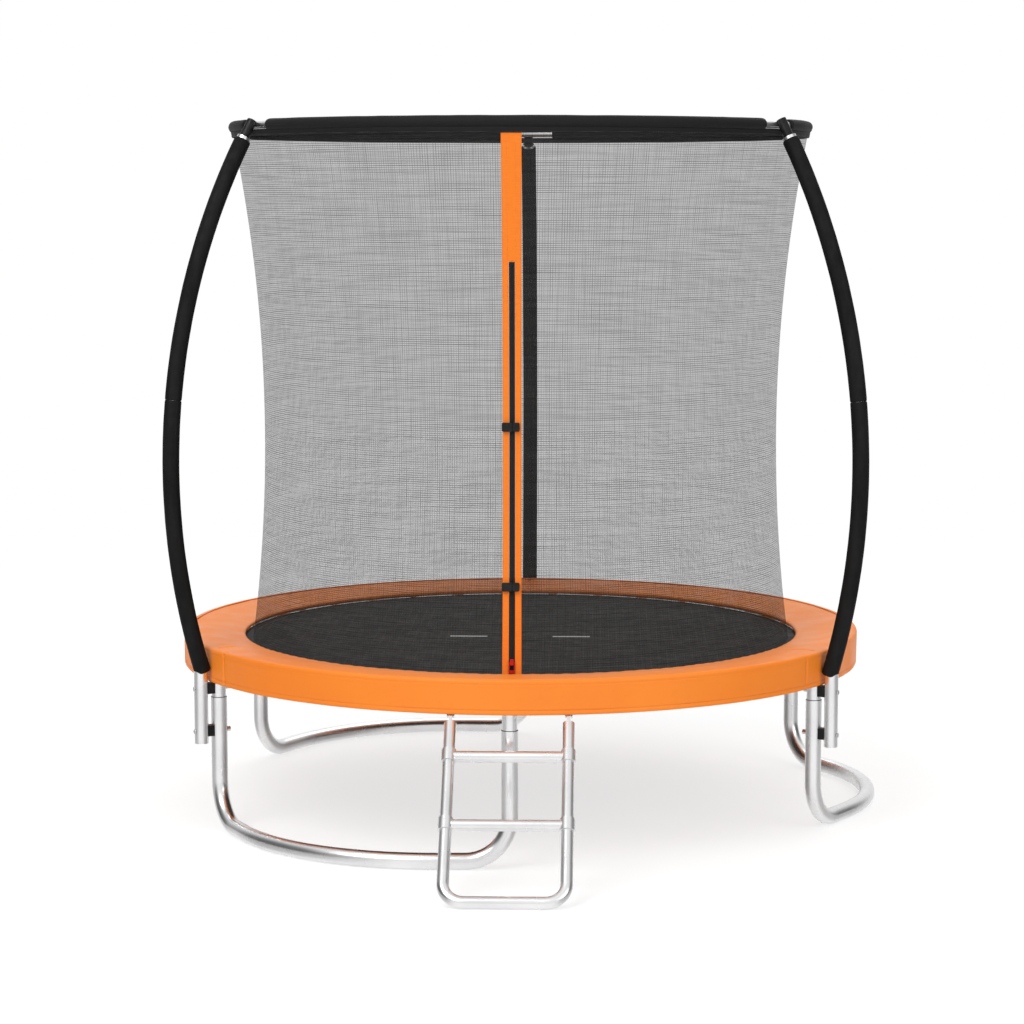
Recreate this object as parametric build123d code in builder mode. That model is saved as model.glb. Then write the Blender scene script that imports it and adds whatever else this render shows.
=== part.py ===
from build123d import *
import math
import os

# Round garden trampoline with an inner safety net on three bowed poles, and a step ladder.
# Millimetres. +Z is up, the floor is Z = 0, and the mat's centre is above the origin. The
# net's door and the ladder face -Y. Azimuths are degrees from +X towards +Y.

# ---- Driving dimensions: ring frame ----
post_count = 6
first_post_azimuth = 30.0
post_spacing = 360.0 / post_count
frame_radius = 896.0
frame_height = 438.0
rail_diameter = 38.0
tube_wall = 1.5
rail_gap = 4.0
socket_clearance = 0.4
socket_reach = 45.0
stub_depth = 60.0

# ---- Driving dimensions: U legs ----
leg_diameter = 42.0
leg_top = frame_height - 90.0
leg_elbow_radius = 110.0
leg_run = 70.0
leg_splay = 32.0
leg_tail_diameter = leg_diameter - 2 * tube_wall - 0.8
stub_diameter = leg_diameter - 2 * tube_wall - 1.0
leg_middles = (0.0, 120.0, 240.0)
leg_tail_length = 50.0
leg_tail_root = 6.0
leg_joint_gap = 0.5

# ---- Driving dimensions: net poles ----
pole_azimuths = (90.0, 210.0, 330.0)
pole_diameter = 36.0
pole_mount_radius = frame_radius + rail_diameter / 2 + pole_diameter / 2 + 13.0
pole_bottom = leg_top - 119.0
pole_bend_radius = 60.0
pole_belly_radius = pole_mount_radius + 75.0
pole_top = 1800.0
pole_belly_height = frame_height + 0.376 * (pole_top - frame_height)
pole_top_inset = 213.34
pole_joint_rise = 178.0
pole_joint_gap = 0.5
pole_spigot_length = 60.0
foam_diameter = pole_diameter + 8.0
foam_bottom = frame_height - 21.0
foam_clearance = 0.3
foam_top_margin = 7.0
cap_diameter = 26.0
cap_length = 50.0
cap_plug_length = 30.0
spacer_heights = (leg_top - 87.0, leg_top + 25.0)
spacer_width = 24.0
spacer_height = 28.0
spacer_clearance = 0.2
bolt_diameter = 8.0
bolt_head_diameter = 13.0
bolt_head_height = 2.0
bolt_head_taper = 20.0
nut_diameter = 13.0
nut_height = 9.0
nut_thread_share = 0.7
bolt_clearance = 0.3

# ---- Driving dimensions: top ring ----
ring_height = pole_top + 31.0
ring_radius = pole_belly_radius - pole_top_inset - 36.66
ring_diameter = 20.0
ring_sleeve_diameter = 32.0
ring_sleeve_clearance = 0.3
ring_sleeve_gap = 144.0
ring_sleeve_span = 120.0

# ---- Driving dimensions: mat, springs and pad ----
mat_radius = frame_radius - 134.0
mat_top = frame_height + 12.0
mat_thickness = 3.0
mat_border_width = 34.0
mat_border_thickness = 2.0
spring_count = 36
spring_diameter = 22.0
spring_height = frame_height + 3.0
spring_wire = 3.2
spring_end = 11.0
link_wire = 4.0
link_length = 16.0
link_width = 34.0
part_clearance = 0.5
pad_inner_radius = mat_radius - 7.0
pad_outer_radius = frame_radius + rail_diameter / 2 + 7.0
pad_thickness = 13.0
pad_rise = 27.0
pad_inner_drop = 12.0
skirt_thickness = 3.0
skirt_height = 89.0

# ---- Driving dimensions: net and door ----
net_waist_radius = ring_radius - 75.0
net_waist_height = 1010.0
net_flare = 77.43
net_thickness = 2.0
net_gore_count = 12
net_gore_gap = 0.1
door_azimuth = 270.0
door_band_width = 46.0
door_band_thickness = 2.0
zip_top = 1488.0
zip_width = 14.0
zip_thickness = 2.5
zip_clearance = 0.4
slider_height = mat_top + 39.0
slider_width = 10.0
slider_length = 16.0
slider_thickness = 8.0
pull_width = 8.0
pull_length = 24.0
pull_thickness = 2.0
buckle_heights = (677.0, 1078.0)
buckle_width = 22.0
buckle_thickness = 9.0
buckle_socket_length = 26.0
buckle_tongue_length = 18.0
buckle_wall = 1.8
buckle_clearance = 0.4
prong_length = 16.0
prong_width = 4.0
prong_root = 2.0
buckle_stand_off = 1.0

# ---- Driving dimensions: ladder ----
ladder_width = 290.0
ladder_tube = 30.0
ladder_foot_reach = 391.0
ladder_corner_radius = 50.0
ladder_pin_height = frame_height - 46.0
ladder_first_rung = 216.5
ladder_rung_spacing = 199.5
rung_diameter = 28.0
collar_diameter = 37.0
collar_length = 34.0
collar_clearance = 0.2
lug_thickness = 8.0
lug_width = 24.0
lug_reach = 36.0
lug_tube_overlap = 40.0
pin_diameter = 8.0
pin_clearance = 0.2
pin_head_share = 1.6
bracket_plate = 4.0
bracket_side_gap = 1.0
bracket_width = 30.0
bracket_clearance = 0.2

# ---- Worked out from the dimensions above ----
floor_bar_height = leg_diameter / 2
ladder_pin_y = -math.sqrt(frame_radius**2 - (ladder_width / 2) ** 2)
ladder_foot = Vector(0, -(frame_radius + ladder_foot_reach), ladder_tube / 2)
ladder_pin = Vector(0, ladder_pin_y, ladder_pin_height)
ladder_length = (ladder_pin - ladder_foot).length
pad_bottom = frame_height + pad_rise
pole_joint_height = pole_belly_height + pole_joint_rise
pole_rise = pole_top - pole_belly_height
pole_arc_radius = (pole_rise**2 + pole_top_inset**2) / (2 * pole_top_inset)
net_bottom = mat_top + part_clearance
net_top = ring_height - ring_sleeve_diameter / 2 - part_clearance
net_rise = net_top - net_waist_height
net_curve_radius = (net_rise**2 + net_flare**2) / (2 * net_flare)


def arc_angle(width, radius):
    """Degrees that a width covers along a circle."""
    return math.degrees(width / radius)


def radial_plane(azimuth):
    """Vertical plane through the trampoline's axis: local X points outward, local Y up."""
    a = math.radians(azimuth)
    return Plane(origin=(0, 0, 0), x_dir=(math.cos(a), math.sin(a), 0), z_dir=(math.sin(a), -math.cos(a), 0))


def outward_plane(azimuth, radius, height):
    """Plane whose normal points outward at a place round the trampoline, with local Y up."""
    a = math.radians(azimuth)
    place = (radius * math.cos(a), radius * math.sin(a), height)
    return Plane(origin=place, x_dir=(-math.sin(a), math.cos(a), 0), z_dir=(math.cos(a), math.sin(a), 0))


def write(piece, node):
    """Labels a finished piece and writes its STEP file."""
    piece.part.label = node
    export_step(piece.part, f"parts/{node}.step")


def ring_profile(azimuth, radius, height, outer, inner):
    """Round tube section on the radial plane at an azimuth, ready to revolve."""
    with BuildSketch(radial_plane(azimuth)) as section:
        with Locations((radius, height)):
            Circle(outer / 2)
            if inner > 0:
                Circle(inner / 2, mode=Mode.SUBTRACT)
    return section.sketch


# ---- Ring frame ----


def frame_rail(number):
    """One sixth of the ring: a curved tube between two sockets, with its spring holes."""
    azimuth = first_post_azimuth + post_spacing * number
    gap = arc_angle(rail_gap / 2, frame_radius)
    with BuildPart() as rail:
        bore = rail_diameter - 2 * tube_wall
        section = ring_profile(azimuth + gap, frame_radius, frame_height, rail_diameter, bore)
        revolve(section, axis=Axis.Z, revolution_arc=post_spacing - 2 * gap)
        for spring in spring_azimuths():
            if azimuth < spring < azimuth + post_spacing:
                with BuildSketch(outward_plane(spring, frame_radius, spring_height)):
                    Circle(spring_wire / 2 + part_clearance)
                extrude(amount=-rail_diameter, mode=Mode.SUBTRACT)
    write(rail, f"frame_rail_{number + 1}")


def spring_azimuths():
    """Azimuths of the springs, set between the posts and never at one."""
    pitch = 360.0 / spring_count
    return [first_post_azimuth + pitch * (i + 0.5) for i in range(spring_count)]


def frame_sockets():
    """Six T sockets: a sleeve over two rail ends, with a stub that a leg slides over."""
    sleeve_inner = rail_diameter + 2 * socket_clearance
    sleeve_outer = sleeve_inner + 2 * tube_wall
    half = arc_angle(socket_reach, frame_radius)
    stub_bottom = leg_top - stub_depth
    with BuildPart() as sockets:
        for i in range(post_count):
            azimuth = first_post_azimuth + post_spacing * i
            a = math.radians(azimuth)
            place = (frame_radius * math.cos(a), frame_radius * math.sin(a))
            section = ring_profile(azimuth - half, frame_radius, frame_height, sleeve_outer, 0)
            revolve(section, axis=Axis.Z, revolution_arc=2 * half)
            with BuildSketch(Plane.XY.offset(stub_bottom)):
                with Locations(place):
                    Circle(stub_diameter / 2)
            extrude(amount=frame_height - stub_bottom)
            with BuildSketch(Plane.XY.offset(stub_bottom)):
                with Locations(place):
                    Circle(stub_diameter / 2 - tube_wall)
            extrude(amount=frame_height - sleeve_outer / 2 - stub_bottom, mode=Mode.SUBTRACT)
        for i in range(post_count):
            azimuth = first_post_azimuth + post_spacing * i
            section = ring_profile(azimuth - 1.5 * half, frame_radius, frame_height, sleeve_inner, 0)
            revolve(section, axis=Axis.Z, revolution_arc=3 * half, mode=Mode.SUBTRACT)
        for azimuth in pole_azimuths:
            with BuildSketch(outward_plane(azimuth, frame_radius - leg_diameter, spacer_heights[1])):
                Circle(bolt_diameter / 2 + bolt_clearance)
            extrude(amount=2 * leg_diameter, mode=Mode.SUBTRACT)
    write(sockets, "frame_sockets")


# ---- Legs ----


def leg_plan(middle):
    """Plan geometry of one U leg: its two post places, bar directions and bar arc."""
    half_span = math.radians(post_spacing / 2)
    post = Vector(frame_radius * math.cos(half_span), -frame_radius * math.sin(half_span))
    splay = math.radians(leg_splay)
    direction = Vector(math.sin(splay), math.cos(splay))
    joint = post + direction * (leg_elbow_radius + leg_run)
    bar_radius = -joint.Y / direction.X
    centre_x = joint.X - direction.Y * bar_radius
    sweep_half = math.degrees(math.atan2(-joint.Y, joint.X - centre_x))
    return post.rotate(Axis.Z, middle), direction.rotate(Axis.Z, middle), centre_x, bar_radius, sweep_half


def leg_bar_section(middle, start, outer, inner):
    """Tube section of a ground bar, on a plane across its arc at an angle from the leg's middle."""
    _, _, centre_x, bar_radius, _ = leg_plan(middle)
    m = math.radians(middle)
    centre = Vector(centre_x * math.cos(m), centre_x * math.sin(m), 0)
    plane = radial_plane(middle + start)
    plane.origin = centre
    with BuildSketch(plane) as section:
        with Locations((bar_radius, floor_bar_height)):
            Circle(outer / 2)
            if inner > 0:
                Circle(inner / 2, mode=Mode.SUBTRACT)
    return section.sketch, Axis(centre, (0, 0, 1))


def leg_upright(middle, side, node, pole_bolted):
    """Upright with its elbow and the narrowed tail that plugs into the ground bar."""
    post, direction, _, bar_radius, sweep_half = leg_plan(middle)
    if side > 0:
        plane_of_symmetry = Plane(origin=(0, 0, 0), z_dir=radial_plane(middle).z_dir)
        post = mirror_point(post, plane_of_symmetry)
        direction = mirror_point(direction, plane_of_symmetry)
    side_plane = Plane(origin=post, x_dir=direction, z_dir=direction.cross(Vector(0, 0, 1)))
    tail_arc = arc_angle(leg_tail_length, bar_radius)
    root_arc = arc_angle(leg_tail_root, bar_radius)
    tail_start = sweep_half - tail_arc if side > 0 else -sweep_half - root_arc
    tail, tail_axis = leg_bar_section(middle, tail_start, leg_tail_diameter, 0)
    bore_diameter = leg_tail_diameter - 2 * tube_wall
    bore_start = tail_start - (root_arc if side > 0 else 0)
    bore, _ = leg_bar_section(middle, bore_start, bore_diameter, 0)
    with BuildPart() as upright:
        leg_sweep(side_plane, leg_top, leg_diameter, leg_run)
        revolve(tail, axis=tail_axis, revolution_arc=tail_arc + root_arc)
        leg_sweep(side_plane, leg_top, leg_diameter - 2 * tube_wall, leg_run - tube_wall, Mode.SUBTRACT)
        revolve(bore, axis=tail_axis, revolution_arc=tail_arc + 2 * root_arc, mode=Mode.SUBTRACT)
        if pole_bolted:
            azimuth = math.degrees(math.atan2(post.Y, post.X))
            with BuildSketch(outward_plane(azimuth, frame_radius - leg_diameter, spacer_heights[0])):
                Circle(bolt_diameter / 2 + bolt_clearance)
            extrude(amount=2 * leg_diameter, mode=Mode.SUBTRACT)
    write(upright, node)


def leg_sweep(side_plane, top, diameter, run, mode=Mode.ADD):
    """Sweeps a disc down an upright, round its elbow and along its run, inside the current part."""
    bend_height = floor_bar_height + leg_elbow_radius
    with BuildLine(side_plane) as path:
        Line((0, top), (0, bend_height))
        bend = CenterArc((leg_elbow_radius, bend_height), leg_elbow_radius, 180, 90)
        Line(bend @ 1, (leg_elbow_radius + run, floor_bar_height))
    with BuildSketch(Plane(origin=side_plane.origin + Vector(0, 0, top))) as section:
        Circle(diameter / 2)
    sweep(sections=section.sketch, path=path.line, mode=mode)


def mirror_point(point, plane):
    """A point or direction mirrored in a plane through the origin."""
    return point - plane.z_dir * (2 * point.dot(plane.z_dir))


def leg_ground_bar(middle, node):
    """Curved bar on the floor that joins a leg's two uprights."""
    _, _, _, bar_radius, sweep_half = leg_plan(middle)
    half = sweep_half - arc_angle(leg_joint_gap, bar_radius)
    with BuildPart() as bar:
        section, axis = leg_bar_section(middle, -half, leg_diameter, leg_diameter - 2 * tube_wall)
        revolve(section, axis=axis, revolution_arc=2 * half)
    write(bar, node)


def legs():
    """Three U legs, each under two neighbouring sockets."""
    for number, middle in enumerate(leg_middles, start=1):
        for side, name in ((-1, "a"), (1, "b")):
            azimuth = (middle + side * post_spacing / 2) % 360
            leg_upright(middle, side, f"leg_{number}_upright_{name}", azimuth in pole_azimuths)
        leg_ground_bar(middle, f"leg_{number}_ground_bar")


# ---- Net poles ----


def pole_centre():
    """Centre of a pole's large arc on its radial plane."""
    return pole_belly_radius - pole_arc_radius, pole_belly_height


def pole_arc_angle(height):
    """Angle on the large arc at a height."""
    return math.degrees(math.asin((height - pole_belly_height) / pole_arc_radius))


def pole_bend():
    """Centre height of the small bend above the mount, and the angle where it meets the arc."""
    centre_x, centre_y = pole_centre()
    across = pole_mount_radius + pole_bend_radius - centre_x
    drop = math.sqrt((pole_arc_radius + pole_bend_radius) ** 2 - across**2)
    return centre_y - drop, -math.degrees(math.asin(drop / (pole_arc_radius + pole_bend_radius)))


def pole_path(bottom, top):
    """Pole centreline between two heights: straight mount, small bend, then the large arc."""
    bend_height, meet_angle = pole_bend()
    with BuildLine() as path:
        if bottom < bend_height:
            Line((pole_mount_radius, bottom), (pole_mount_radius, bend_height))
            CenterArc((pole_mount_radius + pole_bend_radius, bend_height), pole_bend_radius, 180, meet_angle)
            start = meet_angle
        else:
            start = pole_arc_angle(bottom)
        CenterArc(pole_centre(), pole_arc_radius, start, pole_arc_angle(top) - start)
    return path.line


def pole_section(azimuth, bottom, outer, inner):
    """Tube section square to the pole's path at a height."""
    bend_height, _ = pole_bend()
    lean = 0.0 if bottom < bend_height else math.radians(pole_arc_angle(bottom))
    centre_x, _ = pole_centre()
    radius = pole_mount_radius if bottom < bend_height else centre_x + pole_arc_radius * math.cos(lean)
    a = math.radians(azimuth)
    tangent = Vector(-math.sin(lean) * math.cos(a), -math.sin(lean) * math.sin(a), math.cos(lean))
    place = Vector(radius * math.cos(a), radius * math.sin(a), bottom)
    with BuildSketch(Plane(origin=place, z_dir=tangent)) as section:
        Circle(outer / 2)
        if inner > 0:
            Circle(inner / 2, mode=Mode.SUBTRACT)
    return section


def pole_sweep(azimuth, bottom, top, outer, inner, mode=Mode.ADD):
    """Sweeps a round section along the pole between two heights, inside the current part."""
    path = radial_plane(azimuth).from_local_coords(pole_path(bottom, top))
    section = pole_section(azimuth, bottom, outer, inner)
    sweep(sections=section.sketch, path=path, mode=mode)


def pole_tubes(azimuth, number):
    """Lower tube with its mount and spigot, and the upper tube."""
    with BuildPart() as lower:
        pole_sweep(azimuth, pole_bottom, pole_joint_height, pole_diameter, pole_diameter - 2 * tube_wall)
        spigot = pole_diameter - 2 * tube_wall
        pole_sweep(
            azimuth, pole_joint_height - pole_spigot_length, pole_joint_height + pole_spigot_length,
            spigot - 2 * foam_clearance, spigot - 2 * tube_wall - 2 * foam_clearance,
        )
        pole_sweep(
            azimuth, pole_joint_height - pole_spigot_length, pole_joint_height - pole_spigot_length / 2,
            pole_diameter, spigot - 2 * tube_wall - 2 * foam_clearance,
        )
        for height in spacer_heights:
            with BuildSketch(outward_plane(azimuth, pole_mount_radius - pole_diameter, height)):
                Circle(bolt_diameter / 2 + bolt_clearance)
            extrude(amount=2 * pole_diameter, mode=Mode.SUBTRACT)
    write(lower, f"pole_{number}_lower_tube")
    with BuildPart() as upper:
        pole_sweep(
            azimuth, pole_joint_height + pole_joint_gap, pole_top, pole_diameter, pole_diameter - 2 * tube_wall
        )
    write(upper, f"pole_{number}_upper_tube")


def pole_foam(azimuth, number):
    """Two foam sleeves over the pole, meeting at its joint."""
    inner = pole_diameter + 2 * foam_clearance
    with BuildPart() as lower:
        pole_sweep(azimuth, foam_bottom, pole_joint_height, foam_diameter, inner)
    write(lower, f"pole_{number}_lower_foam")
    with BuildPart() as upper:
        top = pole_top - foam_top_margin
        pole_sweep(azimuth, pole_joint_height + pole_joint_gap, top, foam_diameter, inner)
    write(upper, f"pole_{number}_upper_foam")


def pole_caps():
    """Caps that plug the pole tops and hold the ring in a side notch."""
    lean = math.radians(pole_arc_angle(pole_top))
    centre_x, _ = pole_centre()
    radius = centre_x + pole_arc_radius * math.cos(lean)
    plug = pole_diameter - 2 * tube_wall - 2 * foam_clearance
    with BuildPart() as caps:
        for azimuth in pole_azimuths:
            a = math.radians(azimuth)
            axis_dir = Vector(-math.sin(lean) * math.cos(a), -math.sin(lean) * math.sin(a), math.cos(lean))
            place = Vector(radius * math.cos(a), radius * math.sin(a), pole_top)
            with BuildSketch(Plane(origin=place - axis_dir * cap_plug_length, z_dir=axis_dir)):
                Circle(plug / 2)
            extrude(amount=cap_plug_length)
            with BuildSketch(Plane(origin=place, z_dir=axis_dir)):
                Circle(cap_diameter / 2)
            extrude(amount=cap_length)
        fillet(caps.edges().filter_by(GeomType.CIRCLE).group_by(Axis.Z)[-1], radius=cap_diameter / 6)
        for azimuth in pole_azimuths:
            notch = ring_diameter + 2 * ring_sleeve_clearance
            reach = arc_angle(cap_diameter, ring_radius)
            section = ring_profile(azimuth - reach, ring_radius, ring_height, notch, 0)
            revolve(section, axis=Axis.Z, revolution_arc=2 * reach, mode=Mode.SUBTRACT)
    write(caps, "pole_caps")


def pole_spacers():
    """Spacers between the poles and the posts, hollowed to seat on both tubes."""
    with BuildPart() as spacers:
        for azimuth in pole_azimuths:
            for height in spacer_heights:
                with BuildSketch(outward_plane(azimuth, frame_radius, height)):
                    Rectangle(spacer_width, spacer_height)
                extrude(amount=pole_mount_radius - frame_radius)
            a = math.radians(azimuth)
            for height, post in zip(spacer_heights, (leg_diameter, stub_diameter)):
                base = Plane.XY.offset(height - spacer_height)
                with BuildSketch(base):
                    with Locations((frame_radius * math.cos(a), frame_radius * math.sin(a))):
                        Circle(post / 2 + spacer_clearance)
                    with Locations((pole_mount_radius * math.cos(a), pole_mount_radius * math.sin(a))):
                        Circle(pole_diameter / 2 + spacer_clearance)
                extrude(amount=2 * spacer_height, mode=Mode.SUBTRACT)
                with BuildSketch(outward_plane(azimuth, frame_radius, height)):
                    Circle(bolt_diameter / 2 + bolt_clearance)
                extrude(amount=pole_mount_radius - frame_radius, mode=Mode.SUBTRACT)
    write(spacers, "pole_spacers")


def pole_fasteners():
    """Bolts through pole, spacer and post, with domed nuts on the inner side."""
    head_radius = pole_mount_radius + pole_diameter / 2
    with BuildPart() as bolts:
        for azimuth in pole_azimuths:
            for height, post in zip(spacer_heights, (leg_diameter, stub_diameter)):
                nut_face = frame_radius - post / 2
                with BuildSketch(outward_plane(azimuth, head_radius + spacer_clearance, height)):
                    Circle(bolt_head_diameter / 2)
                extrude(amount=bolt_head_height, taper=bolt_head_taper)
                with BuildSketch(outward_plane(azimuth, nut_face - nut_height / 2, height)):
                    Circle(bolt_diameter / 2)
                extrude(amount=head_radius + spacer_clearance - nut_face + nut_height / 2)
    write(bolts, "pole_bolts")
    with BuildPart() as nuts:
        for azimuth in pole_azimuths:
            for height, post in zip(spacer_heights, (leg_diameter, stub_diameter)):
                nut_face = frame_radius - post / 2 - spacer_clearance
                with BuildSketch(outward_plane(azimuth, nut_face, height)):
                    RegularPolygon(nut_diameter / 2, 6)
                extrude(amount=-nut_height)
                with BuildSketch(outward_plane(azimuth, nut_face, height)):
                    Circle(bolt_diameter / 2 + spacer_clearance)
                extrude(amount=-nut_height * nut_thread_share, mode=Mode.SUBTRACT)
    write(nuts, "pole_nuts")


# ---- Top ring ----


def top_ring():
    """Ring tube that holds the net open, and its fabric sleeve in three lengths."""
    with BuildPart() as tube:
        section = ring_profile(0, ring_radius, ring_height, ring_diameter, ring_diameter - 2 * tube_wall)
        revolve(section, axis=Axis.Z)
    write(tube, "top_ring_tube")
    gap = arc_angle(ring_sleeve_gap / 2, ring_radius)
    with BuildPart() as sleeve:
        for azimuth in pole_azimuths:
            inner = ring_diameter + 2 * ring_sleeve_clearance
            section = ring_profile(azimuth + gap, ring_radius, ring_height, ring_sleeve_diameter, inner)
            revolve(section, axis=Axis.Z, revolution_arc=ring_sleeve_span - 2 * gap)
    write(sleeve, "top_ring_sleeve")


# ---- Mat and springs ----


def mat():
    """Jump mat, a round sheet, and the webbing border sewn under its rim."""
    with BuildPart() as sheet:
        with BuildSketch(Plane.XY.offset(mat_top - mat_thickness)):
            Circle(mat_radius)
        extrude(amount=mat_thickness)
    write(sheet, "jump_mat")
    with BuildPart() as border:
        with BuildSketch(Plane.XY.offset(mat_top - mat_thickness - mat_border_thickness)):
            Circle(mat_radius)
            Circle(mat_radius - mat_border_width, mode=Mode.SUBTRACT)
        extrude(amount=mat_border_thickness)
    write(border, "mat_border")


def springs():
    """Extension springs as closed coils with a straight wire at each end."""
    coil_start = mat_radius + link_length + spring_end
    coil_end = frame_radius - rail_diameter / 2 - spring_end
    wire_end = frame_radius - rail_diameter / 2 + tube_wall
    with BuildPart() as coils:
        for azimuth in spring_azimuths():
            with BuildSketch(outward_plane(azimuth, coil_start, spring_height)):
                Circle(spring_diameter / 2)
            extrude(amount=coil_end - coil_start)
            with BuildSketch(outward_plane(azimuth, coil_start - spring_end + part_clearance, spring_height)):
                Circle(spring_wire / 2)
            extrude(amount=wire_end - coil_start + spring_end - part_clearance)
    write(coils, "springs")


def spring_links():
    """Triangular wire links between the mat's rim and the springs."""
    link_height = mat_top - mat_thickness - mat_border_thickness - part_clearance - link_wire / 2
    inner = mat_radius - mat_border_width / 2
    outer = mat_radius + link_length
    with BuildPart() as links:
        for azimuth in spring_azimuths():
            plane = radial_plane(azimuth)
            level = Plane(origin=(0, 0, link_height), x_dir=plane.x_dir, z_dir=(0, 0, 1))
            with BuildSketch(level):
                Polygon((inner, -link_width / 2), (inner, link_width / 2), (outer, 0), align=None)
                offset(amount=-link_wire, kind=Kind.INTERSECTION, mode=Mode.SUBTRACT)
            extrude(amount=link_wire / 2, both=True)
    write(links, "spring_links")


# ---- Spring pad ----


def spring_pad():
    """Foam ring over the springs, thinner and lower at its inner rim, and its hanging skirt."""
    outer = pad_outer_radius - skirt_thickness - part_clearance
    top = pad_bottom + pad_thickness
    rail_inner = frame_radius - rail_diameter
    with BuildPart() as pad:
        with BuildSketch(radial_plane(0)) as section:
            with BuildLine():
                Polyline(
                    (pad_inner_radius, pad_bottom - pad_inner_drop),
                    (rail_inner, pad_bottom),
                    (outer, pad_bottom),
                    (outer, top),
                    (rail_inner, top),
                    (pad_inner_radius, top - pad_inner_drop),
                    close=True,
                )
            make_face()
            fillet(section.vertices().sort_by(Axis.X)[:2], radius=pad_thickness / 3)
        revolve(axis=Axis.Z)
    write(pad, "spring_pad")
    with BuildPart() as skirt:
        with BuildSketch(Plane.XY.offset(top - skirt_height)):
            Circle(pad_outer_radius)
            Circle(pad_outer_radius - skirt_thickness, mode=Mode.SUBTRACT)
        extrude(amount=skirt_height)
    write(skirt, "pad_skirt")


# ---- Net and door ----


def net_radius(height, out=0.0):
    """Radius of the net's inner face, or of a face further out, at a height."""
    radius = net_curve_radius - out
    rise = height - net_waist_height
    return net_waist_radius + net_curve_radius - math.sqrt(radius**2 - rise**2)


def net_strip(azimuth, arc, bottom, top, out, thickness):
    """Curved strip of the net's surface, standing out from it, inside the current part."""
    middle = (bottom + top) / 2
    with BuildSketch(radial_plane(azimuth)) as section:
        with BuildLine():
            inner = ThreePointArc(
                *((net_radius(z, out), z) for z in (bottom, middle, top))
            )
            outer = ThreePointArc(
                *((net_radius(z, out + thickness), z) for z in (bottom, middle, top))
            )
            Line(inner @ 0, outer @ 0)
            Line(inner @ 1, outer @ 1)
        make_face()
    revolve(section.sketch, axis=Axis.Z, revolution_arc=arc)


def enclosure_net():
    """The net, in gores, open behind the zip."""
    slit = arc_angle(zip_width + 2 * zip_clearance, net_waist_radius) / 2
    start = door_azimuth + slit
    arc = (360 - 2 * slit) / net_gore_count
    with BuildPart() as net:
        for i in range(net_gore_count):
            net_strip(start + arc * i, arc - net_gore_gap, net_bottom, net_top, 0, net_thickness)
    write(net, "enclosure_net")


def door():
    """Door band in two strips beside the zip, joined above it, and the zip's tape."""
    half_band = arc_angle(door_band_width, net_waist_radius) / 2
    half_zip = arc_angle(zip_width, net_waist_radius) / 2
    slit = half_zip + arc_angle(zip_clearance, net_waist_radius)
    out = net_thickness + zip_clearance
    with BuildPart() as band:
        net_strip(
            door_azimuth - half_band, 2 * half_band, zip_top + zip_clearance, net_top, out, door_band_thickness
        )
        for start in (door_azimuth - half_band, door_azimuth + slit):
            arc = half_band - slit
            net_strip(start, arc, net_bottom, zip_top + zip_clearance, out, door_band_thickness)
    write(band, "door_band")
    with BuildPart() as tape:
        net_strip(door_azimuth - half_zip, 2 * half_zip, net_bottom, zip_top, 0, zip_thickness)
    write(tape, "zip_tape")


def door_plane(height, out):
    """Plane tangent to the net at the door, a distance out from the net's inner face."""
    slope = math.asin((height - net_waist_height) / net_curve_radius)
    normal = Vector(0, -math.cos(slope), -math.sin(slope))
    place = Vector(0, -net_radius(height), height) + normal * out
    return Plane(origin=place, x_dir=(1, 0, 0), z_dir=normal)


def zip_slider():
    """Zip slider at the foot of its travel, and the pull that hangs from its bridge."""
    out = zip_thickness + zip_clearance
    hole_depth = slider_thickness - pull_thickness - zip_clearance
    hinge = door_plane(slider_height, out + hole_depth).origin
    with BuildPart() as slider:
        with BuildSketch(door_plane(slider_height, out)):
            RectangleRounded(slider_width, slider_length, slider_width / 4)
        extrude(amount=slider_thickness)
        fillet(slider.edges().group_by(Axis.Y)[0], radius=slider_thickness / 6)
        with BuildSketch(Plane.YZ.offset(-slider_width)):
            with Locations((hinge.Y, hinge.Z)):
                Circle(pull_thickness / 2 + zip_clearance)
        extrude(amount=2 * slider_width, mode=Mode.SUBTRACT)
    write(slider, "zip_slider")
    side = slider_width / 2 + zip_clearance + pull_thickness
    with BuildPart() as pull:
        with BuildSketch(Plane.YZ.offset(-side)):
            with Locations((hinge.Y, hinge.Z)):
                Circle(pull_thickness / 2)
        extrude(amount=2 * side)
        for x in (-side, side - pull_thickness):
            with BuildSketch(Plane.YZ.offset(x)):
                with BuildLine():
                    Polyline(
                        (hinge.Y + pull_thickness / 2, hinge.Z),
                        (hinge.Y + pull_thickness / 2, hinge.Z - pull_length),
                        (hinge.Y - pull_thickness, hinge.Z - pull_length),
                        (hinge.Y - pull_thickness, hinge.Z),
                        close=True,
                    )
                make_face()
            extrude(amount=pull_thickness)
        with BuildSketch(Plane.YZ.offset(-side)):
            with Locations((hinge.Y - pull_thickness / 4, hinge.Z - pull_length)):
                Rectangle(pull_thickness * 1.5, pull_width)
        extrude(amount=2 * side)
    write(pull, "zip_pull")


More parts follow.
